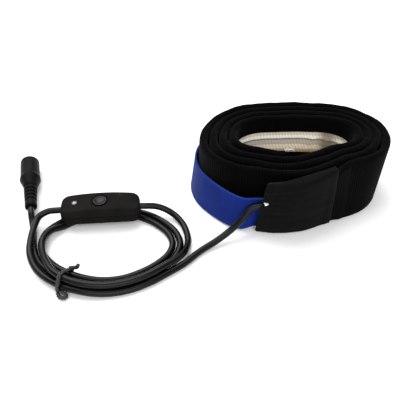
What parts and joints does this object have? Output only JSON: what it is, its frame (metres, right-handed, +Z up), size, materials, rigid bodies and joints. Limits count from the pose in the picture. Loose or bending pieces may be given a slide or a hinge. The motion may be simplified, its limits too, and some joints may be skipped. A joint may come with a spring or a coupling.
{
  "type": "telescope dew heater strip",
  "caption": "Rolled-up knitted dew heater strip with an elastic strap on its end and a coiled lead that carries an in-line push switch and a power socket.",
  "frame": {"origin": "under the middle of the rolled strip, on the surface it stands on", "axes": "+X along the roll's long diameter, +Y away from its loose end, +Z up along the strip's width"},
  "size_m": [0.2162, 0.1303, 0.0355],
  "materials": {
    "knit": "black ribbed knit, matt",
    "plain_cloth": "black plain woven cloth, matt",
    "heating_knit": "silver and beige knitted tape with woven-in yarns",
    "felt": "grey needled felt",
    "web": "royal blue elastic webbing",
    "hook_tape": "black hook tape",
    "resistance_wire": "drawn copper alloy wire",
    "crimp_metal": "tinned crimp sleeves",
    "cable": "black flexible cable jacket, satin",
    "tie": "black plastic-covered tie",
    "switch_case": "fine-grained black moulding",
    "button": "black, smooth, slightly glossy",
    "led_lens": "clear lens",
    "board": "green board",
    "screw": "zinc plated",
    "resistor": "lacquered",
    "mould": "soft black overmoulding, satin",
    "insert": "black socket insert",
    "contact": "nickel plated"
  },
  "bodies": {
    "strip_and_lead": {"strip_cover": "knit", "tail_facing": "plain_cloth", "heating_tape": "heating_knit", "insulation_felt": "felt", "heating_wire_lower": "resistance_wire", "heating_wire_upper": "resistance_wire", "end_pocket": "plain_cloth", "elastic_strap": "web", "hook_patch": "hook_tape", "lead_strip_to_switch": "cable", "lead_switch_to_socket": "cable", "core_wire_lower": "resistance_wire", "core_wire_upper": "resistance_wire", "crimp_lower": "crimp_metal", "crimp_upper": "crimp_metal", "twist_tie": "tie", "switch_lower_shell": "switch_case", "switch_upper_shell": "switch_case", "shell_screw_near": "screw", "shell_screw_far": "screw", "switch_board": "board", "latch_body": "insert", "indicator_led": "led_lens", "led_resistor": "resistor", "socket_overmould": "mould", "socket_insert": "insert", "socket_centre_pin": "contact"},
    "button": {"push_button": "button", "latch_plunger": "insert"}
  },
  "joints": [
    {"name": "button_press", "type": "slide", "parent": "strip_and_lead", "child": "button", "axis": [0, 0, -1], "range_m": [0, 0.0012], "stiffness_N_per_m": 900, "springref_m": -0.001}
  ]
}
